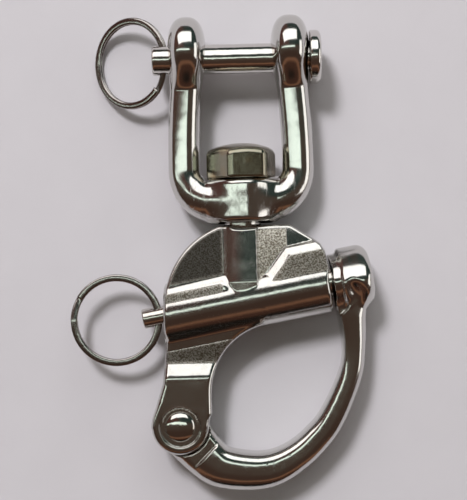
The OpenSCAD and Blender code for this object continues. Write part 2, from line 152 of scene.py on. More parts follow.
PLAY, ROOM = 0.08, 0.5
print("sizes are in millimetres")

# %% [markdown]
# ## Shapes as distances
#
# A casting has no separate faces: its bars, bosses and webs run into each other with fillets.
# Such a form is easiest to write as a distance. Each shape is a function of x, y and z that is
# negative inside the metal, zero on its surface and positive outside, and a fillet is one
# formula that joins two such functions. All of them work on whole numpy arrays at once.

# %% Joining and cutting distances


def joined(a, b, r):
    """Union with a fillet of radius r: max(r, min(a, b)) less the length of what a and b lack
    of r."""
    short = np.hypot(np.maximum(r - a, 0), np.maximum(r - b, 0))
    return np.maximum(r, np.minimum(a, b)) - short


def shared(a, b, r):
    """Intersection whose edge is rounded to radius r: the union of the outsides, turned over."""
    return -joined(-a, -b, r)


def cut(a, b, r):
    """a without b, with its rim rounded to radius r."""
    return shared(a, -b, r)


print("joined, shared, cut")

# %% Discs, plates and rods


def disc(x, y, centre, r):
    """Distance in the plane from a round outline."""
    return np.hypot(x - centre[0], y - centre[1]) - r


def outline(x, y, corners):
    """Distance in the plane from a closed polygon: to the nearest edge, and negative where a
    ray to the right crosses the edges an odd number of times."""
    near, inside = np.full(np.broadcast(x, y).shape, 1e9), False
    for (ax, ay), (bx, by) in zip(corners, np.roll(corners, -1, axis=0)):
        ex, ey = bx - ax, by - ay
        t = np.clip(((x - ax) * ex + (y - ay) * ey) / (ex * ex + ey * ey), 0, 1)
        near = np.minimum(near, np.hypot(x - ax - t * ex, y - ay - t * ey))
        if ey:
            crosses = ((ay > y) != (by > y)) & (x < ax + ex * (y - ay) / ey)
            inside = inside ^ crosses
    return np.where(inside, -near, near)


def plate(z, shape_2d, half, edge):
    """A plane shape as a plate of that half thickness, with its edges rounded."""
    return shared(shape_2d, np.abs(z) - half, edge)


def rod(x, y, z, r, low, high, edge_low, edge_high, start=(0, BARREL_Y), way=ALONG):
    """A round bar in the plane through start, along way, from low to high, with rounded rims."""
    t = (x - start[0]) * way[0] + (y - start[1]) * way[1]
    w = (y - start[1]) * way[0] - (x - start[0]) * way[1]
    side = np.hypot(w, z) - r
    return shared(shared(side, low - t, edge_low), t - high, edge_high)


def along_swivel(x, y, z, r, low, high, edge):
    """A round bar along the swivel axis."""
    return rod(x, y, z, r, low, high, edge, edge, (0, 0), (0.0, 1.0))


def along_pin(x, y, z, r, low, high, edge_low, edge_high):
    """A round bar along the clevis pin's axis."""
    return rod(x, y, z, r, low, high, edge_low, edge_high, (0, 0), (1.0, 0.0))


def on_barrel(t, w=0.0):
    """The plane point at t along the barrel's axis and w across it."""
    return np.array([0, BARREL_Y]) + t * ALONG + w * ACROSS


print("barrel's right end at", on_barrel(BARREL_RIGHT).round(2))

# %% [markdown]
# A curved bar is a path with a changing section. At each point the nearest place on the path
# gives the sideways offset and the local half width and half thickness, and the section is a
# superellipse: power 2 is an ellipse, and more is squarer.

# %% Bars along a path


def squarish(offset, z, wide, thick, power):
    """Distance from a section: with q the superellipse norm of the offset, the offset's length
    times (1 - 1 / q)."""
    norm = (np.abs(offset) / wide) ** power + (np.abs(z) / thick) ** power + 1e-12
    norm = norm ** (1 / power)
    return (np.hypot(offset, z) + 1e-6) * (1 - 1 / np.maximum(norm, 1e-3))


def smooth_path(stations, per_span=10):
    """Catmull-Rom curve through rows of numbers: each span is a cubic whose slope at a row is
    half the step between the row's neighbours."""
    p = np.asarray(stations, float)
    a, b, c, d = (p[np.clip(np.arange(len(p) - 1) + k, 0, len(p) - 1)] for k in (-1, 0, 1, 2))
    u = np.linspace(0, 1, per_span, endpoint=False)[None, :, None]
    a, b, c, d = (v[:, None, :] for v in (a, b, c, d))
    rows = b + ((c - a) * u + (2 * a - 5 * b + 4 * c - d) * u**2
                + (3 * b - a - 3 * c + d) * u**3) / 2
    return np.concatenate([rows.reshape(-1, p.shape[1]), p[-1:]])


def bar(x, y, z, path, inner, outer):
    """Distance from a bar along path, rows of x, y, half width, half thickness. Its section is
    squarish, with the power inner on the path's left and outer on its right."""
    flat_x, flat_y = (np.broadcast_to(v, np.broadcast(x, y).shape) for v in (x, y))
    best = np.full(flat_x.shape, 1e9)
    wide, thick, power = (np.zeros(flat_x.shape) for _ in range(3))
    for p, q in zip(path[:-1], path[1:]):
        e = q[:2] - p[:2]
        t = np.clip(((flat_x - p[0]) * e[0] + (flat_y - p[1]) * e[1]) / (e @ e), 0, 1)
        d = np.hypot(flat_x - p[0] - t * e[0], flat_y - p[1] - t * e[1])
        nearer = d < best
        best = np.where(nearer, d, best)
        wide = np.where(nearer, p[2] + t * (q[2] - p[2]), wide)
        thick = np.where(nearer, p[3] + t * (q[3] - p[3]), thick)
        left = e[0] * (flat_y - p[1]) > e[1] * (flat_x - p[0])
        power = np.where(nearer, np.where(left, inner, outer), power)
    return squarish(best, z, wide, thick, power)


print("section, path and bar")

# %% [markdown]
# ## From a distance to a mesh
#
# The distance is sampled on a grid. Each cell that the surface crosses gets one vertex, at the
# mean of the crossings on its edges, and each grid edge that crosses the surface gets one
# four-sided face between the four cells round it. That net is slightly rough, so its vertices
# then step along the distance's slope until they lie on the true surface, and the same slope
# gives their normals. Polished metal needs such exact normals, because a mirror shows every
# dent in them.

# %% Surface net
FLATTEST = 0.2
CORNERS = np.array([[i, j, k] for i in (0, 1) for j in (0, 1) for k in (0, 1)])
EDGES = [(a, b) for a in range(8) for b in range(a + 1, 8)
         if np.abs(CORNERS[a] - CORNERS[b]).sum() == 1]


def surface_net(shape, low, high, step):
    """Vertices and quads of the zero surface of shape(x, y, z) inside a box."""
    axes = [np.arange(a, b + step, step) for a, b in zip(low, high)]
    grid = np.ix_(*axes)
    size = tuple(len(a) for a in axes)
    f = np.ascontiguousarray(np.broadcast_to(shape(*grid), size), dtype=np.float32)
    inside = f < 0
    count = sum(inside[i:size[0] - 1 + i, j:size[1] - 1 + j, k:size[2] - 1 + k].astype(np.int8)
                for i, j, k in CORNERS)
    cells = np.argwhere((count > 0) & (count < 8))
    values = np.stack([f[tuple((cells + c).T)] for c in CORNERS], -1)
    total, number = np.zeros((len(cells), 3)), np.zeros(len(cells))
    for a, b in EDGES:
        crossed = (values[:, a] < 0) != (values[:, b] < 0)
        t = values[:, a] / np.where(crossed, values[:, a] - values[:, b], 1)
        point = CORNERS[a] + t[:, None] * (CORNERS[b] - CORNERS[a])
        total += point * crossed[:, None]
        number += crossed
    vertices = (cells + total / number[:, None]) * step + np.array([a[0] for a in axes])
    index = np.full(count.shape, -1, np.int32)
    index[tuple(cells.T)] = np.arange(len(cells))
    quads = []
    for axis in range(3):
        u, v = (axis + 1) % 3, (axis + 2) % 3
        first = [slice(1, -1)] * 3
        second = [slice(1, -1)] * 3
        first[axis], second[axis] = slice(0, -1), slice(1, None)
        here, there = inside[tuple(first)], inside[tuple(second)]
        place = np.argwhere(here != there)
        outward = here[tuple(place.T)]
        place = place + np.array([0 if n == axis else 1 for n in range(3)])
        back_u, back_v = np.eye(3, dtype=int)[u], np.eye(3, dtype=int)[v]
        ring = [place - back_u - back_v, place - back_v, place, place - back_u]
        quad = np.stack([index[tuple(p.T)] for p in ring], -1)
        quads.append(np.where(outward[:, None], quad, quad[:, ::-1]))
    return vertices, np.concatenate(quads)


def slope(shape, p, h=0.01):
    """Gradient of the distance at points p, from differences over 2 h."""
    x, y, z = p.T
    return np.stack([shape(x + h, y, z) - shape(x - h, y, z),
                     shape(x, y + h, z) - shape(x, y - h, z),
                     shape(x, y, z + h) - shape(x, y, z - h)], -1) / (2 * h)


def settled(shape, p, step, rounds=4):
    """Moves points onto the surface: each round subtracts distance times slope over slope
    squared, but no more than a third of a grid step. A slope whose square is under FLATTEST
    counts as that."""
    for _ in range(rounds):
        g = slope(shape, p)
        move = (shape(*p.T) / np.maximum((g * g).sum(-1), FLATTEST))[:, None] * g
        far = np.maximum(np.linalg.norm(move, axis=-1, keepdims=True) / (step / 3), 1)
        p = p - move / far
    g = slope(shape, p)
    return p, g / np.maximum(np.linalg.norm(g, axis=-1, keepdims=True), 1e-9)


print("grid cell edges:", len(EDGES))

# %% [markdown]
# A mesh object gets its vertices and faces in one call, rides on its body, hides the solid
# that it stands for, and keeps its place in its mesh.

# %% Mesh objects


def put(name, points, faces, body, stands_for, normals=None, attributes=None):
    """Makes the object from points in the plane (mm) and faces; attributes are per vertex."""
    mesh = bpy.data.meshes.new(name)
    mesh.from_pydata(lay(points).tolist(), [], [list(map(int, face)) for face in faces])
    mesh.shade_smooth()
    for key, values in (attributes or {}).items():
        mesh.attributes.new(key, "FLOAT", "POINT").data.foreach_set(
            "value", np.asarray(values, np.float32))
    if normals is not None:
        mesh.normals_split_custom_set_from_vertices(turn(normals).tolist())
    mesh.validate()
    piece = bpy.data.objects.new(name, mesh)
    bpy.context.scene.collection.objects.link(piece)
    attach(piece, body)
    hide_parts(stands_for)
    print(f"{name}: {len(mesh.vertices)} vertices, {len(mesh.polygons)} faces")
    return piece


def casting(name, shape, low, high, step, body, stands_for, marks=None):
    """A settled surface net as an object; marks(points, normals) gives its attributes."""
    points, faces = surface_net(shape, low, high, step)
    points, normals = settled(shape, points, step)
    marked = marks(points, normals) if marks else {}
    return put(name, points, faces, body, stands_for, normals, marked)


print("put and casting")

# %% [markdown]
# ## The jaw
#
# The jaw is one casting: two thick, well-rounded ears, two round legs that spread a little and
# turn through a corner, and a thick base with a round boss for the bolt. It is the same left
# and right, so its distance is written for the right half and read with the absolute value
# of x.

# %% The jaw's distance
CORNER_X = EAR_X + LEG_SPREAD - CORNER_R
EAR_MID, EAR_FOOT, LEG_POWER = 2.0, 10.5, 2.1


def eased(u):
    """0 below 0, 1 above 1 and 3 u^2 - 2 u^3 between."""
    u = np.clip(u, 0, 1)
    return u * u * (3 - 2 * u)


def jaw_bar(x, y, z):
    """One leg, corner and half base. The middle line is a parabola down the leg, a quarter
    circle round the corner and a straight base. The section grows round the corner, and again
    towards the ear by (1 - u^2)^1.5, where u is 0 at the ear's middle and 1 at its foot."""
    drop = np.clip((y - CORNER_Y) / (-EAR_R / 4 - CORNER_Y), 0, 1)
    beside_leg = x - EAR_X - LEG_SPREAD * (1 - drop * drop)
    beside_arc = np.hypot(x - CORNER_X, y - CORNER_Y) - CORNER_R
    on_leg, on_base = y > CORNER_Y, x < CORNER_X
    offset = np.where(on_leg, beside_leg, np.where(on_base, y - BASE_Y, beside_arc))
    share = np.arctan2(CORNER_Y - y, x - CORNER_X) / (math.pi / 2)
    grown = eased(np.where(on_leg, 0.0, np.where(on_base, 1.0, share)))
    swell = (1 - np.clip((EAR_MID - y) / EAR_FOOT, 0, 1) ** 2) ** 1.5
    wide = LEG_R + (BASE_T / 2 - LEG_R) * grown + (EAR_T / 2 - LEG_R) * swell
    thick = LEG_R + (BASE_H / 2 - LEG_R) * grown + (EAR_H - LEG_R) * swell
    return squarish(offset, z, wide, thick, LEG_POWER + (EAR_POWER - LEG_POWER) * swell)


def ear_top(x, y, z):
    """The round end of an ear, above its middle: a superellipse of thickness and reach. Its
    norm less 1 is divided by the norm's own slope, which makes it a distance."""
    reach = EAR_R - EAR_MID
    a = np.abs(x) / (EAR_T / 2) + 1e-9
    r = np.hypot(y / reach, z / EAR_H) + 1e-9
    q = (a**EAR_POWER + r**EAR_POWER) ** (1 / EAR_POWER)
    slope_x = (a / q) ** (EAR_POWER - 1) / (EAR_T / 2)
    slope_r = (r / q) ** (EAR_POWER - 1) * np.hypot(y / reach**2, z / EAR_H**2) / r
    return (q - 1) / np.maximum(np.hypot(slope_x, slope_r), 0.02)


def jaw(x, y, z):
    """Legs and base joined to ears and boss, less the bores of pin and bolt."""
    x = np.abs(x)
    radial = np.hypot(y, z)
    arms = np.where(y > EAR_MID, ear_top(x - EAR_X, y - EAR_MID, z), jaw_bar(x, y, z))
    boss = along_swivel(x, y, z, BASE_BOSS_R, BASE_Y - BASE_T / 2, BASE_Y + BASE_T / 2, 1.5)
    metal = joined(arms, boss, 2.4)
    metal = cut(metal, radial - (PIN_R + PLAY), 0.7)
    return cut(metal, np.hypot(x, z) - (BOLT_R + PLAY), 0.3)


def jaw_marks(points, normals):
    """Scuffs: strongest at the two lower corners and on the base, none on the ears."""
    x, y, _ = points.T
    scuffed = np.clip((-28 - y) / 8, 0, 1) * (0.75 + 0.25 * np.clip(np.abs(x) / 12, 0, 1))
    return {"scuffed": scuffed}


jaw_piece = casting("jaw_casting", jaw, (-20.6, -45.2, -12), (20.6, 12, 12), 0.33,
                    "fork", "fork", jaw_marks)

# %% [markdown]
# ## The body
#
# The body is a second casting. A flat web joins the swivel's boss to the barrel, round on the
# left and sloping on the right, where a raised cheek fills the corner above the barrel. An arm
# curves down from the barrel's left end to a thicker pad with the hinge's round lug, which is
# slotted for the bail's tongue and dished for the rivet's head.

# %% The body's outlines
SHOULDER_R, FLAT_END_X, ARM_IN, OPENING_R = 22.8, 12.4, 8.7, 18.7
shoulder = np.array([SHOULDER_R - BARREL_LEFT + 0.2, BARREL_Y - 1.5])
top_angle = math.acos((TOP_Y - shoulder[1]) / SHOULDER_R)
arc = np.linspace(-math.pi / 2 - 0.2, -top_angle, 28)[:, None]
arc = shoulder + SHOULDER_R * np.concatenate([np.sin(arc), np.cos(arc)], -1)
web_edge = [*arc, (FLAT_END_X, TOP_Y), (13.2, TOP_Y - 0.3), (19.4, TOP_Y - 4.4),
            (20.6, TOP_Y - 5.4), (21.7, TOP_Y - 7.2), (22.5, TOP_Y - 11),
            on_barrel(BARREL_RIGHT - 0.3), on_barrel(BARREL_RIGHT - 0.3, -2), on_barrel(-18, -2)]
cheek_edge = [(3.3, -61.8), (11.2, -51.5), (20.6, -49.8), (26, -51), (26, -66), (3.3, -70)]
opening = (hinge[0] + ARM_IN + OPENING_R, hinge[1] + LUG_R * 1.1)
left_x, left_y = -BARREL_LEFT + 0.3, on_barrel(-BARREL_LEFT)[1]
arm_edge = [(left_x, left_y + 1.2), (left_x, left_y - 8.4),
            (hinge[0] - LUG_R * 0.57, hinge[1] + LUG_R * 1.5),
            (hinge[0] - LUG_R * 0.8, hinge[1] + LUG_R * 0.8),
            (hinge[0] - LUG_R * 0.95, hinge[1]), (hinge[0] + LUG_R * 0.9, hinge[1]),
            (hinge[0] + ARM_IN, hinge[1] + LUG_R * 0.4), (hinge[0] + ARM_IN, opening[1]),
            (hinge[0] + 17.1, hinge[1] + 20.9), on_barrel(5, -6.6), on_barrel(9, -5.0),
            on_barrel(3)]
print("flat top from x =", arc[-1].round(2)[0], "to", FLAT_END_X, "mm")

# %% [markdown]
# The web's two sides are a relief: a height over the plane, mirrored to the back. Every part of
# it is a simple plane or curve, and the higher of two parts wins. Where they cross they are
# blended by a parabola, because a fillet made for square corners would swell on such flat ones.
# Each name in _H below is a height, with the place where the part has it and its slopes.

# %% The body's relief
LEFT_H, LEFT_SLOPE = 4.8, 0.11
RIGHT_H, RIGHT_RISE, RISE_LENGTH = 4.5, 2.0, 7.0
SHELF_H, SHELF_W, SHELF_SLOPE = 7.7, 3.4, 0.08
BANK_H, BANK_W, BANK_SLOPE = 7.5, 5.4, 0.66
END_H, END_X, END_Y, END_WAY, END_SLOPE = 7.7, -6.2, -60.0, (0.681, 0.733), 0.68
CHEEK_H, CHEEK_IN, CHEEK_SLOPE = 7.25, 2.2, 0.45
RIM_H, RIM_SLOPE = 6.25, 1.4
RIDGE_H, RIDGE_SLOPE, RIDGE_LENGTH, RIDGE_CURVE = 6.2, 0.125, 15.0, 0.02
RIDGE_LEFT, LEFT_FALL, RIDGE_RIGHT, RIGHT_FALL, FADE_SLOPE = -2.7, 0.5, 3.5, 2.5, 3.0
TOP_H, TOP_SLOPE = 5.0, 1.1
VALLEY_H, VALLEY_Y, VALLEY_SLOPE = 4.5, -81.2, 0.09
RAMP_Y, RAMP_SLOPE = -81.4, 0.37


def higher(a, b, k):
    """The larger of two heights, raised by (k - |a - b|)^2 / 4k where they are within k."""
    return np.maximum(a, b) + np.maximum(k - np.abs(a - b), 0) ** 2 / (4 * k)


def lower(a, b, k):
    """The smaller of two heights, blended in the same way."""
    return -higher(-a, -b, k)


def across_barrel(x, y):
    """w, the distance up from the barrel's axis in the plane."""
    return (y - BARREL_Y) * ALONG[0] - x * ALONG[1]


def barrel_height(w):
    """The barrel's round: the root of R^2 - w^2."""
    return np.sqrt(np.maximum(BARREL_R**2 - w * w, 1.0))


def panel_height(x, down):
    """Left of the swivel a plane, and right of it a rise that levels out as 1 - e^-t."""
    left = LEFT_H + LEFT_SLOPE * np.maximum(down, 0)
    right = RIGHT_H + RIGHT_RISE * (1 - np.exp(-np.maximum(down, -1) / RISE_LENGTH))
    return np.where(x < 0, left, right)


def ridge_height(x, down):
    """The swivel's ridge: crowned by x^2, a little higher towards the barrel, and falling off
    on both sides."""
    top = RIDGE_H + RIDGE_SLOPE * np.minimum(down, RIDGE_LENGTH) - RIDGE_CURVE * x * x
    ridge = lower(top, top + LEFT_FALL * (x - RIDGE_LEFT), 0.3)
    return lower(ridge, top + RIGHT_FALL * (RIDGE_RIGHT - x), 0.3)


def web_height(x, y):
    """Two panels, the shelf above the barrel, the cheek and the swivel's ridge. The shelf ends
    upwards in a bank and to the right in a slope, and it gives way to the ridge at x = 0."""
    w, down = across_barrel(x, y), TOP_Y - y
    shelf = SHELF_H - SHELF_SLOPE * (w - SHELF_W)
    left = lower(shelf, BANK_H + BANK_SLOPE * (BANK_W - w), 0.4)
    past_end = END_WAY[0] * (x - END_X) + END_WAY[1] * (y - END_Y)
    left = lower(left, END_H - END_SLOPE * past_end, 0.5)
    left = left - FADE_SLOPE * np.maximum(x, 0)
    past_rim = outline(x, y, cheek_edge)
    cheek = lower(shelf, CHEEK_H - CHEEK_SLOPE * (CHEEK_IN + past_rim), 0.35)
    cheek = lower(cheek, RIM_H - RIM_SLOPE * past_rim, 0.15)
    h = higher(higher(panel_height(x, down), left, 0.4), cheek, 0.15)
    h = higher(h, ridge_height(x, down), 0.25 + 0.15 * np.clip(0.5 - x / 3, 0, 1))
    h = lower(h, TOP_H + TOP_SLOPE * down, 0.3)
    return higher(h, barrel_height(w), 0.2)


def arm_height(x, y):
    """A valley under the barrel, and a slope up to the hinge's thicker pad."""
    ramp = lower(VALLEY_H + RAMP_SLOPE * (RAMP_Y - y), LUG_H, 0.25)
    valley = VALLEY_H + VALLEY_SLOPE * np.maximum(y - VALLEY_Y, 0)
    return higher(higher(ramp, valley, 0.25), barrel_height(across_barrel(x, y)), 1.4)


print("height on the swivel's axis at the top", round(float(web_height(0.0, TOP_Y)), 2), "mm")

# %% [markdown]
# The relief becomes a solid when it is trimmed by the outlines: the distance is the larger of
# the height above the relief and the distance outside the outline, with a rounded edge. The
# height is divided by the length of its slope, so that it is nearly a distance. What the wheel
# couldn't reach is stored on the vertices, for the steel's finish to read. So is the place where
# the grain gets painted shade.

# %% The body's distance
WEB_STEEP, ARM_STEEP = 1.08, 1.05


def lower_outline(x, y):
    """The arm's polygon less the round of the opening, with the round lug at its end."""
    arm = shared(outline(x, y, arm_edge), -disc(x, y, opening, OPENING_R), 0.3)
    return joined(arm, disc(x, y, hinge, LUG_R), 1.0)


def body(x, y, z):
    """Trimmed web and arm with barrel and collar, less slot, dish and bores."""
    web = shared((np.abs(z) - web_height(x, y)) / WEB_STEEP, outline(x, y, web_edge), 0.8)
    arm = shared((np.abs(z) - arm_height(x, y)) / ARM_STEEP, lower_outline(x, y), 1.5)
    barrel = rod(x, y, z, BARREL_R, -60, BARREL_RIGHT, 0, 1.2)
    barrel = shared(barrel, -BARREL_LEFT - x, 1.2)
    collar = along_swivel(x, y, z, 5.0, TOP_Y - 3, TOP_Y + 0.95, 0.2)
    metal = joined(joined(web, arm, 0.05), barrel, 0.05)
    metal = joined(metal, collar, 0.2)
    metal = cut(metal, plate(z, disc(x, y, hinge, LUG_R + ROOM), SLOT_H, 0.05), 0.3)
    dish = shared(disc(x, y, hinge, DISH_R), LUG_H - DISH_DEPTH - np.abs(z), 0.15)
    metal = cut(metal, dish, 0.3)
    metal = cut(metal, disc(x, y, hinge, RIVET_R + PLAY), 0.1)
    metal = cut(metal, rod(x, y, z, NOSE_R + PLAY, SPRING_SEAT, 60, 0.1, 0.1), 0.4)
    metal = cut(metal, rod(x, y, z, ROD_R + PLAY, -60, 0, 0.1, 0.1), 0.3)
    return cut(metal, along_swivel(x, y, z, BOLT_R + PLAY, BORE_END, -30, 0.1), 0.3)


def after(value, start, width):
    """0 up to start, 1 from start + width on, and smooth between."""
    return eased((value - start) / width)


def before(value, end, width):
    """1 up to end - width, 0 from end on, and smooth between."""
    return eased((end - value) / width)


def body_marks(points, normals):
    """As cast: both panels, the shelf, the cheek's middle, the arm's valley and the dish, where
    they face up or down. Painted shade, which darkens the grain nearly to black: most of all on
    the left panel, less on the arm's valley, the shelf and the cheek."""
    x, y, _ = points.T
    w, up = across_barrel(x, y), np.abs(normals[:, 2])
    inside, on_cheek = -outline(x, y, web_edge), -outline(x, y, cheek_edge)
    left = after(inside, 0.7, 0.5) * after(w, 7.0, 1.7) * before(x, -4.9, 1.4)
    shelf = after(w, 2.7, 1.3) * before(w, 6.2, 1.3) * before(x, -5.0, 1.6)
    cheek = after(on_cheek, 1.5, 1.3) * after(w, 2.9, 1.3)
    right = after(x, 3.7, 0.5) * before(x, 11.9, 0.5) * before(on_cheek, -0.2, 0.5)
    right = right * before(y, TOP_Y - 0.9, 0.5)
    valley = after(y, -82.5, 1.5) * before(w, -9.0, 1.5)
    dish = eased(0.6 - np.abs(disc(x, y, hinge, 4.9)) / 1.2) * eased((y - hinge[1] + 1) / 3)
    cast = np.maximum.reduce([left, shelf, cheek, right, valley, dish]) * after(up, 0.6, 0.2)
    # Painted shade: most on the left panel, less on the arm's valley, the shelf and the cheek.
    painted_shade = left + 0.45 * (shelf + cheek) + 0.6 * valley
    return {"as_cast": cast, "painted_shade": np.clip(painted_shade, 0, 1), "scuffed": 0.3 + 0 * x}


body_piece = casting("body_casting", body, (-27, -108, -9.2), (25.2, -43.2, 9.2), 0.33,
                     "shackle", "shackle_body", body_marks)

# %% [markdown]
# ## The bail
#
# The bail is a third casting: a hooked bar that is widest beside the hinge and slimmest on the
# right, where it runs up to a round boss. The boss takes the plunger's nose in its socket, its
# side towards the jaw is ground to a low roof, and its other side is hollowed. At the hinge the
# bar thins to a tongue that fits the slot of the lug.
#
# The bar's middle line is given in shares: how far along from the hinge to the boss, and how far
# out as a share of the bow, with the half width and half thickness there.

# %% The bail's distance
INNER_POWER, OUTER_POWER = 3.6, 2.3
STEP_AT, STEP_H = 10.6, 4.5
ROOF_SLOPE, ROOF_TOP, ROOF_STEEP = 0.84, 9.5, 1.306
HOLLOW_X, HOLLOW_Y, HOLLOW_Z, HOLLOW_WAY = 31.2, -67.8, 11.5, (0.35, 0.94)
HOLLOW_WIDE, HOLLOW_LONG, HOLLOW_DEEP, HOLLOW_R = 3.6, 9.0, 6.0, 4.5
boss_at = on_barrel(BOSS_REACH)
chord = boss_at - hinge
chord_out = np.array([chord[1], -chord[0]]) / np.hypot(*chord)
bail_rows = np.array([
    [-0.01, 0.14, 6.7, 5.0], [-0.01, 0.38, 6.1, 5.4], [0.01, 0.60, 5.6, 5.4],
    [0.10, 0.84, 5.2, 5.4], [0.19, 0.975, 4.8, 5.2], [0.30, 1.03, 4.2, 5.0],
    [0.41, 1.025, 3.9, 4.8], [0.53, 0.965, 3.6, 4.7], [0.71, 0.76, 3.2, 4.6],
    [0.81, 0.55, 3.2, 4.8], [0.91, 0.24, 4.2, 5.8], [0.97, 0.06, 5.2, 6.4]])
bail_xy = hinge + bail_rows[:, :1] * chord + BAIL_BOW * bail_rows[:, 1:2] * chord_out
bail_path = smooth_path(np.concatenate([bail_xy, bail_rows[:, 2:]], -1))


def hollow(x, y, z):
    """The boss's dent, an ellipsoid along the bar: its norm less 1, times a middling radius."""
    c, s = HOLLOW_WAY
    along = (x - HOLLOW_X) * c - (y - HOLLOW_Y) * s
    beside = (x - HOLLOW_X) * s + (y - HOLLOW_Y) * c
    above = np.abs(z) - HOLLOW_Z
    norm = np.sqrt((beside / HOLLOW_WIDE) ** 2 + (along / HOLLOW_LONG) ** 2
                   + (above / HOLLOW_DEEP) ** 2)
    return HOLLOW_R * (norm - 1)


def bail(x, y, z):
    """Bar cut back to a straight step beside the hinge, joined to tongue and boss, with the
    boss's roof and hollow, less the room for lug, barrel, rivet and nose."""
    hook = bar(x, y, z, bail_path, INNER_POWER, OUTER_POWER)
    lug_room = shared(disc(x, y, hinge, LUG_R + 0.4), TONGUE_H - np.abs(z), 0.1)
    hook = cut(hook, lug_room, 0.2)
    past_step = (x - hinge[0] - y + hinge[1]) / math.sqrt(2) - STEP_AT
    hook = cut(hook, shared(past_step, STEP_H - np.abs(z), 0.3), 0.4)
    tongue = plate(z, disc(x, y, hinge, LUG_R - 0.2), TONGUE_H, 0.3)
    pad = rod(x, y, z, PAD_R, PAD_T, PAD_T + BOSS_L / 2, 0.4, 0.1)
    boss = rod(x, y, z, BOSS_R, PAD_T + PAD_H, PAD_T + BOSS_L, 1.0, 3.2)
    metal = joined(joined(hook, tongue, 0.3), joined(pad, boss, 0.5), 1.6)
    over_roof = np.abs(z) + ROOF_SLOPE * across_barrel(x, y) - ROOF_TOP
    metal = shared(metal, over_roof / ROOF_STEEP, 2.0)
    metal = cut(metal, hollow(x, y, z), 0.8)
    metal = cut(metal, rod(x, y, z, BARREL_R + ROOM, 10, BARREL_RIGHT + ROOM, 0.1, 0.1), 0.3)
    metal = cut(metal, disc(x, y, hinge, RIVET_R + PLAY), 0.1)
    return cut(metal, rod(x, y, z, NOSE_R + PLAY, 10, PAD_T + SOCKET_DEPTH, 0.1, 0.1), 0.4)


def bail_marks(points, normals):
    """Scuffs: a few all over, and more along the crown."""
    return {"scuffed": 0.2 + 0.3 * np.clip((-100 - points[:, 1]) / 8, 0, 1)}


bail_piece = casting("bail_casting", bail, (-27, -118.4, -8.8), (36.4, -50.4, 8.8), 0.33,
                     "bail", "bail", bail_marks)

# %% [markdown]
# ## Bolt, pins and rivet
#
# The bolt's hexagon is three pairs of parallel faces, rounded where they meet, with a domed
# end. The clevis pin and the plunger are round bars with a cross-hole for their rings, and the
# rivet is a short bar between two domes.

# %% Bolt, pins and rivet


def hexagon(x, y, z):
    """The bolt: three slabs 60 degrees apart under a shallow dome, on a round shank."""
    c, s = math.cos(math.radians(HEX_TURN)), math.sin(math.radians(HEX_TURN))
    a, b = x * c + z * s, x * s - z * c
    slabs = [np.abs(a * math.cos(k) + b * math.sin(k)) - HEX_AF / 2
             for k in np.radians([30, 90, 150])]
    sides = shared(shared(slabs[0], slabs[1], 0.9), slabs[2], 0.9)
    low, high = -JAW_DEPTH + HEX_GAP, -JAW_DEPTH + HEX_GAP + HEX_H
    dome = np.hypot(np.hypot(a, b), y - high + HEX_DOME_R) - HEX_DOME_R
    head = shared(shared(sides, low - y, 0.7), dome, 1.3)
    shank = along_swivel(x, y, z, BOLT_R, BOLT_END, low + 2, 0.8)
    return joined(head, shank, 0.1)


def clevis_pin(x, y, z):
    """The pin with a rounded head, less the cross-hole of its ring."""
    shank = along_pin(x, y, z, PIN_R, PIN_END, PIN_HEAD_X + 1, 0.6, 0.1)
    head = along_pin(x, y, z, PIN_HEAD_R, PIN_HEAD_X, PIN_HEAD_X + PIN_HEAD_T, 0.6, 1.3)
    hole = np.hypot(x - pin_hole[0], z) - PIN_HOLE_R
    return cut(joined(shank, head, 0.1), hole, 0.25)


def plunger(x, y, z):
    """Rod and nose, less the cross-hole of the ring."""
    thin = rod(x, y, z, ROD_R, ROD_END, SPRING_END + 1, 0.5, 0.1)
    nose = rod(x, y, z, NOSE_R, SPRING_END, NOSE_TIP, 0.7, 0.7)
    t = x * ALONG[0] + (y - BARREL_Y) * ALONG[1]
    hole_t = (rod_hole - np.array([0, BARREL_Y])) @ ALONG
    return cut(joined(thin, nose, 0.1), np.hypot(t - hole_t, z) - ROD_HOLE_R, 0.25)


def rivet(x, y, z):
    """A bar between two domes, half an ellipsoid each: the norm less 1 over its slope."""
    seat = LUG_H - DISH_DEPTH + 0.15
    out, up = disc(x, y, hinge, 0), np.abs(z) - seat
    norm = np.hypot(out / RIVET_HEAD_R, up / RIVET_HEAD_H) + 1e-9
    steep = np.hypot(out / RIVET_HEAD_R**2, up / RIVET_HEAD_H**2) / norm
    head = shared((norm - 1) / np.maximum(steep, 0.05), -up, 0.15)
    return np.minimum(head, plate(z, out - RIVET_R, seat + 0.1, 0.05))


bolt_piece = casting("swivel_bolt_hexagon", hexagon, (-10.6, -59.2, -10.6), (10.6, -21, 10.6),
                     0.3, "shackle", "swivel_bolt")
pin_piece = casting("clevis_pin_polished", clevis_pin, (-24, -8, -8), (23, 8, 8), 0.3,
                    "clevis_pin", "clevis_pin")
plunger_piece = casting("plunger_rod_and_nose", plunger, (-29.5, -73, -4.6), (29.8, -55, 4.6),
                        0.3, "plunger", "plunger")
rivet_piece = casting("rivet_domed", rivet, (hinge[0] - 4.8, hinge[1] - 4.8, -7.2),
                      (hinge[0] + 4.8, hinge[1] + 4.8, 7.2), 0.16, "shackle", "hinge_rivet")

# %% [markdown]
# ## Split rings
#
# A split ring is flattened spring wire wound through two turns that lie on each other, with
# one step where the wire climbs from the lower turn to the upper. It is a section carried
# along a path, which is a function of two parameters: the place along the wire and the place
# round its section.

# %% Wound wire
WIRE_START, STEP_TURN, ROUND_POWER = 16.0, 14.0, 0.74


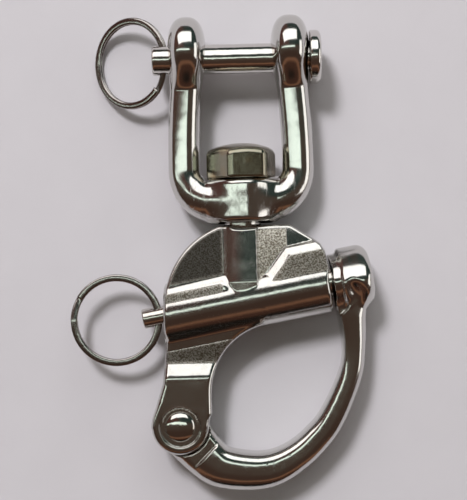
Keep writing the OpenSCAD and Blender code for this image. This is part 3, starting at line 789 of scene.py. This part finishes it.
def sweep(rings):
    """Faces of a tube over rings of points (m, n, 3), closed round and capped at both ends."""
    m, n, _ = rings.shape
    k, i = np.meshgrid(np.arange(m - 1), np.arange(n), indexing="ij")
    j = (i + 1) % n
    sides = np.stack([k * n + i, k * n + j, (k + 1) * n + j, (k + 1) * n + i], -1).reshape(-1, 4)
    caps = [list(range(n))[::-1], list(range((m - 1) * n, m * n))]
    return sides.tolist() + caps


def split_ring(turn_about, count=300, around=20):
    """Rings of points of a two-turn split ring about Z, turned about Z by turn_about degrees.
    The wire climbs one pitch within STEP_TURN degrees of a full turn. Its section is a
    superellipse of power 2.7: cosine and sine to the power 2 / 2.7, with their signs."""
    along = np.linspace(WIRE_START, 720 - WIRE_START, count)[:, None]
    pitch = WIRE_T + TURN_GAP
    rise = pitch * np.clip((along - 360) / STEP_TURN, -1, 1) / 2
    a = 2 * np.pi * np.arange(around)[None, :] / around
    across = np.sign(np.cos(a)) * np.abs(np.cos(a)) ** ROUND_POWER * WIRE_W / 2
    height = np.sign(np.sin(a)) * np.abs(np.sin(a)) ** ROUND_POWER * WIRE_T / 2
    r = RING_OUT - WIRE_W / 2 + across
    angle = np.radians(along + 180 + turn_about)
    return np.stack(np.broadcast_arrays(r * np.cos(angle), r * np.sin(angle), rise + height), -1)


def turned(points, degrees, axis):
    """Points turned about a main axis, 0 for X, 1 for Y and 2 for Z."""
    c, s = math.cos(math.radians(degrees)), math.sin(math.radians(degrees))
    u, v = (axis + 1) % 3, (axis + 2) % 3
    out = points.copy()
    out[..., u] = points[..., u] * c - points[..., v] * s
    out[..., v] = points[..., u] * s + points[..., v] * c
    return out


RING_ARM_PIN, RING_ARM_ROD, RING_OVAL, DROOP, SKEW = 10.04, 11.375, 0.9, 25.05, 6.0
PIN_WIRE_TURN, ROD_WIRE_TURN = 155.0, 340.0
lean = math.degrees(math.atan2(ALONG[1], ALONG[0]))
pin_wire = split_ring(PIN_WIRE_TURN) * [RING_OVAL, 1, 1] - [RING_ARM_PIN, 0, 0]
pin_wire = turned(pin_wire, -DROOP, 1) + [pin_hole[0], pin_hole[1], 0]
rod_wire = split_ring(ROD_WIRE_TURN) - [RING_ARM_ROD, 0, 0]
rod_wire = turned(rod_wire, lean - SKEW, 2) + [rod_hole[0], rod_hole[1], 0]
pin_ring = put("pin_split_ring", pin_wire.reshape(-1, 3), sweep(pin_wire), "clevis_ring",
               "clevis_ring")
rod_ring = put("plunger_split_ring", rod_wire.reshape(-1, 3), sweep(rod_wire), "plunger_ring",
               "plunger_ring")

# %% [markdown]
# ## Writing materials as sums
#
# A node graph is clearer as an expression. `Signal` wraps one output of a node, and its
# operators add Math nodes, with either side a number. `Finish` holds one material, and its
# `node` method adds any other node by type, with its settings first and then its inputs.

# %% Signals and finishes


class Signal:
    """One output socket. a + b, a * 2 and 1 - a each add a Math node."""

    def __init__(self, finish, socket):
        self.finish, self.socket = finish, socket

    def _math(self, operation, first, second):
        return self.finish.node("ShaderNodeMath", {"operation": operation}, {0: first, 1: second})

    def __add__(self, other):
        return self._math("ADD", self, other)

    def __radd__(self, other):
        return self._math("ADD", other, self)

    def __sub__(self, other):
        return self._math("SUBTRACT", self, other)

    def __rsub__(self, other):
        return self._math("SUBTRACT", other, self)

    def __mul__(self, other):
        return self._math("MULTIPLY", self, other)

    def __rmul__(self, other):
        return self._math("MULTIPLY", other, self)

    def over(self, low, high):
        """0 below low, 1 above high, and smooth between."""
        return self.finish.node("ShaderNodeMapRange", {"interpolation_type": "SMOOTHSTEP"},
                                {"Value": self, "From Min": low, "From Max": high})


class Finish:
    """A node tree of a material or of the world."""

    def __init__(self, name, tree=None):
        if tree is None:
            self.material = bpy.data.materials.new(name)
            self.material.use_nodes = True
            tree = self.material.node_tree
        self.tree = tree
        self.tree.nodes.clear()

    def node(self, kind, settings=None, inputs=None, output=0):
        """Adds a node, sets it up, fills its inputs with values or Signals, and returns one
        of its outputs as a Signal."""
        made = self.tree.nodes.new(kind)
        for key, value in (settings or {}).items():
            setattr(made, key, value)
        for key, value in (inputs or {}).items():
            if isinstance(value, Signal):
                self.tree.links.new(value.socket, made.inputs[key])
            else:
                made.inputs[key].default_value = value
        return Signal(self, made.outputs[output]) if made.outputs else made

    def noise(self, scale, detail=3.0, roughness=0.5, stretch=None, output=0):
        """Noise over the object's own coordinates, in cycles a metre, 0 to 1."""
        place = self.node("ShaderNodeTexCoord", output="Object")
        if stretch:
            place = self.node("ShaderNodeMapping", {}, {"Vector": place, "Scale": stretch})
        return self.node("ShaderNodeTexNoise", {}, {"Vector": place, "Scale": scale,
                         "Detail": detail, "Roughness": roughness}, output)

    def blend(self, share, first, second):
        """A colour between two colours."""
        return self.node("ShaderNodeMix", {"data_type": "RGBA"},
                         {"Factor": share, 6: first, 7: second}, 2)

    def attribute(self, name):
        """A number stored on the piece's vertices."""
        return self.node("ShaderNodeAttribute", {"attribute_name": name}, output="Fac")

    def bump(self, height, distance, strength=1.0, under=None):
        """A bump of that height in metres, on top of another if one is given."""
        inputs = {"Height": height, "Distance": distance, "Strength": strength}
        if under is not None:
            inputs["Normal"] = under
        return self.node("ShaderNodeBump", {}, inputs)

    def surface(self, **inputs):
        """Ends the tree in a Principled shader. Names use _ for a space."""
        named = {key.replace("_", " "): value for key, value in inputs.items()}
        shader = self.node("ShaderNodeBsdfPrincipled", {}, named)
        self.node("ShaderNodeOutputMaterial", {}, {"Surface": shader})
        return self.material


print("finishes are written as expressions")

# %% [markdown]
# ## Polished stainless steel
#
# A hand-polished casting is a mirror with faults. It undulates slightly over a few
# millimetres, which makes its reflections swim, its polish varies, and fine scuffs cross it
# where it has rubbed. Where the wheel couldn't reach it stays as cast: a fine grain, rougher
# and a little browner. On the body some of that grain is painted with shade, nearly black.

# %% Polished casting


def polished_casting(name, tint=(0.64, 0.63, 0.605, 1), has_cast=False):
    """Mirror steel with undulation, scuffs by the `scuffed` attribute, and grain where the
    `as_cast` attribute says that the wheel didn't reach. A third attribute paints shade on that
    grain, darkening it nearly to black."""
    f = Finish(name)
    swim = f.noise(110, 2.0, 0.45)
    dents = f.noise(190, 1.0, 0.4)
    scuff = f.noise(900, 4, 0.65, stretch=(1, 0.25, 1))
    specks = f.noise(2600, 2, 0.5)
    scuffed = f.attribute("scuffed")
    rubbed = scuff.over(0.50, 0.68) * scuffed
    colour = f.blend(rubbed * 0.5, tint, (0.52, 0.51, 0.48, 1))
    rough = 0.11 + rubbed * 0.16 + specks * 0.04
    bumps = f.bump(swim, 0.0005, 0.30)
    bumps = f.bump(dents * scuffed, 0.0008, 0.22, bumps)
    bumps = f.bump(scuff * scuffed, 0.00006, 0.5, bumps)
    if has_cast:
        grain = f.noise(2400, 3, 0.7)
        cast = f.attribute("as_cast")
        patch = (cast + (grain - 0.5) * 0.5).over(0.35, 0.65)
        # Painted shade: this attribute darkens the grain's colour nearly to black.
        painted_shade = f.attribute("painted_shade")
        brown = f.blend(grain.over(0.42, 0.58), (0.24, 0.205, 0.15, 1), (0.90, 0.87, 0.80, 1))
        brown = f.blend(painted_shade * 0.9, brown, (0.02, 0.016, 0.012, 1))
        colour = f.blend(patch * 0.97, colour, brown)
        rough = rough + patch * 0.28
        bumps = f.bump(grain * (patch * 0.92 + 0.08), 0.00020, 0.8, bumps)
    return f.surface(Base_Color=colour, Metallic=1.0, Roughness=rough, Normal=bumps)


def dress(piece, material):
    """Makes this the piece's only material."""
    piece.data.materials.clear()
    piece.data.materials.append(material)


dress(jaw_piece, polished_casting("jaw_steel"))
dress(body_piece, polished_casting("body_steel", (0.62, 0.61, 0.585, 1), True))
dress(bail_piece, polished_casting("bail_steel"))
print("castings dressed")

# %% [markdown]
# ## Turned and drawn steel
#
# The pins were turned on a lathe, so their faint marks run round them. The bolt's head was
# tumbled: its faces are soft, clouded and slightly brown. The rings and the spring are drawn
# wire, darker, with fine drawn-out marks. The spring keeps its solid's own shape.

# %% Turned and drawn steel


def turned_steel(name, tint, rough, marks_along, blotch=0.0):
    """Steel with fine marks stretched along one axis, and brownish clouds."""
    f = Finish(name)
    marks = f.noise(1400, 3, 0.6, stretch=marks_along)
    cloud = f.noise(170, 3, 0.55)
    brown = cloud.over(0.50, 0.72) * blotch
    colour = f.blend(brown, tint, (0.45, 0.33, 0.20, 1))
    rough = rough + (marks - 0.5) * 0.08 + brown * 0.08
    bumps = f.bump(marks, 0.00005, 0.4)
    bumps = f.bump(cloud, 0.0005, 0.25, bumps)
    return f.surface(Base_Color=colour, Metallic=1.0, Roughness=rough, Normal=bumps)


dress(pin_piece, turned_steel("pin_steel", (0.70, 0.68, 0.65, 1), 0.13, (1, 0.1, 0.1)))
dress(plunger_piece, turned_steel("plunger_steel", (0.66, 0.63, 0.59, 1), 0.16, (1, 0.1, 0.1)))
# The bolt's dark tint is partly its tumbled finish and partly painted shade on its faces.
dress(bolt_piece, turned_steel("bolt_steel", (0.34, 0.32, 0.25, 1), 0.22, (0.4, 1, 0.4), 0.7))
dress(rivet_piece, turned_steel("rivet_steel", (0.62, 0.60, 0.57, 1), 0.10, (0.5, 0.5, 1), 0.3))
wire_steel = turned_steel("ring_steel", (0.42, 0.40, 0.385, 1), 0.17, (0.3, 0.3, 1))
dress(pin_ring, wire_steel)
dress(rod_ring, wire_steel)
spring = frame["nodes"]["plunger_spring"]
dress(spring, turned_steel("spring_steel", (0.55, 0.54, 0.52, 1), 0.22, (0.2, 1, 1)))
travel = 1000 * joints["plunger_slide"]["range_m"][1]
1 - travel / (SPRING_END - SPRING_SEAT)
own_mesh(spring)
print("pins, bolt, rivet, rings and spring dressed")

# %% [markdown]
# ## Paper, light and camera
#
# The shackle lies on a sheet of pale paper. A metal mirror shows its room, so the light is
# three soft boxes in a dim olive and brown room: one like a wide window beyond the jaw, one
# like a long ceiling strip, and a low lamp on the right. A small fourth lamp, the key, gives the
# paper its soft shadow, and the metal doesn't mirror it. The camera looks straight down.

# %% Paper
floor_z = solid_box[0][2]
floor_mesh = bpy.data.meshes.new("paper")
half = 3.0
floor_mesh.from_pydata([(-half, -half, floor_z), (half, -half, floor_z), (half, half, floor_z),
                        (-half, half, floor_z)], [], [(0, 1, 2, 3)])
paper = bpy.data.objects.new("paper", floor_mesh)
bpy.context.scene.collection.objects.link(paper)
sheet = Finish("paper")
fibre = sheet.noise(60, 4, 0.6)
dress(paper, sheet.surface(
    Base_Color=sheet.blend(fibre, (0.585, 0.565, 0.590, 1), (0.625, 0.605, 0.630, 1)),
    Roughness=0.85, Specular_IOR_Level=0.2))
print("paper at", round(floor_z * 1000, 2), "mm")

# %% Light
MIDDLE, LAMP_AWAY = Vector((0, -0.052, 0)), 2.0


def soft_box(name, way, width, height, strength, colour):
    """A rectangular lamp in the direction way from the shackle, facing it. Its power is its
    brightness times its area, so strength is how bright it looks."""
    lamp = bpy.data.lights.new(name, "AREA")
    lamp.shape, lamp.size, lamp.size_y = "RECTANGLE", width, height
    lamp.energy = strength * width * height * math.pi
    lamp.color = colour
    box = bpy.data.objects.new(name, lamp)
    bpy.context.scene.collection.objects.link(box)
    way = Vector(way).normalized()
    box.location = MIDDLE + way * LAMP_AWAY
    box.rotation_euler = (-way).to_track_quat("-Z", "Y").to_euler()
    box.visible_camera = False
    return box


def toward(across, up):
    """The direction that leans by across degrees to +X and by up degrees to +Y of zenith."""
    return (math.tan(math.radians(across)), math.tan(math.radians(up)), 1)


soft_box("window", toward(-8, 46.5), width=2.9, height=1.42, strength=1.75,
         colour=(1.0, 0.99, 0.97))
strip = soft_box("ceiling_strip", (0, 0, 1), width=4.95, height=0.22, strength=1.7,
                 colour=(0.86, 1.0, 0.91))
strip.location = (-1.83, 0.028, LAMP_AWAY)
strip.rotation_euler = (0, 0, 0)
soft_box("low_lamp", (1.0, 0.0, 0.33), width=1.5, height=0.85, strength=1.5,
         colour=(1.0, 0.98, 0.95))
key = soft_box("key", (-0.273, 0.536, 0.799), width=0.36, height=0.36, strength=68.0,
               colour=(0.98, 0.97, 1.0))
key.visible_glossy = False
print("window, ceiling strip, low lamp and key")

# %% [markdown]
# The room is a colour for each direction: brown on the left and olive on the right, and then
# one band after another towards -Y, where the last is nearly black. The metal mirrors it, and
# the camera itself sees a plain pale backdrop.

# %% Room
# Each band: how far towards -Y it starts, half the width of its edge, and its colour.
BANDS = ((-0.12, 0.12, (0.080, 0.058, 0.044, 1)), (0.30, 0.15, (0.060, 0.035, 0.025, 1)),
         (0.69, 0.04, (0.205, 0.098, 0.056, 1)), (0.81, 0.04, (0.062, 0.029, 0.019, 1)),
         (0.94, 0.03, (0.012, 0.010, 0.008, 1)))
world = bpy.data.worlds.new("room")
bpy.context.scene.world = world
world.use_nodes = True
room = Finish("room", world.node_tree)
way = room.node("ShaderNodeTexCoord", output="Generated")
to_right, to_far = (room.node("ShaderNodeSeparateXYZ", {}, {0: way}, axis) for axis in "XY")
near = to_far * -1
brown, olive, backdrop = (0.095, 0.045, 0.036, 1), (0.030, 0.046, 0.040, 1), (0.66, 0.65, 0.67, 1)
walls = room.blend(to_right.over(-0.24, 0.02), brown, olive)
for place, width, tone in BANDS:
    walls = room.blend(near.over(place - width, place + width), walls, tone)
seen = room.node("ShaderNodeLightPath", output="Is Camera Ray")
colour = room.blend(seen, walls, backdrop)
shade = room.node("ShaderNodeBackground", {}, {"Color": colour, "Strength": 1.0})
room.node("ShaderNodeOutputWorld", {}, {"Surface": shade})
print("a room with", len(BANDS), "bands")

# %% Camera
lens = bpy.data.cameras.new("camera")
camera = bpy.data.objects.new("camera", lens)
bpy.context.scene.collection.objects.link(camera)
lens.sensor_fit = "VERTICAL"
lens.sensor_height = 24.0
HEIGHT, FRAME_H, LEAN = 0.330, 0.1355, -1.5
lens.lens = lens.sensor_height * HEIGHT / FRAME_H
lens.clip_start = 0.01
camera.location = (-0.00265, -0.05175, HEIGHT)
camera.rotation_euler = (0, 0, math.radians(LEAN))
bpy.context.scene.camera = camera
bpy.context.scene.view_settings.view_transform = "Standard"
print("camera", round(HEIGHT * 1000), "mm above the pin, lens", round(lens.lens, 1), "mm")
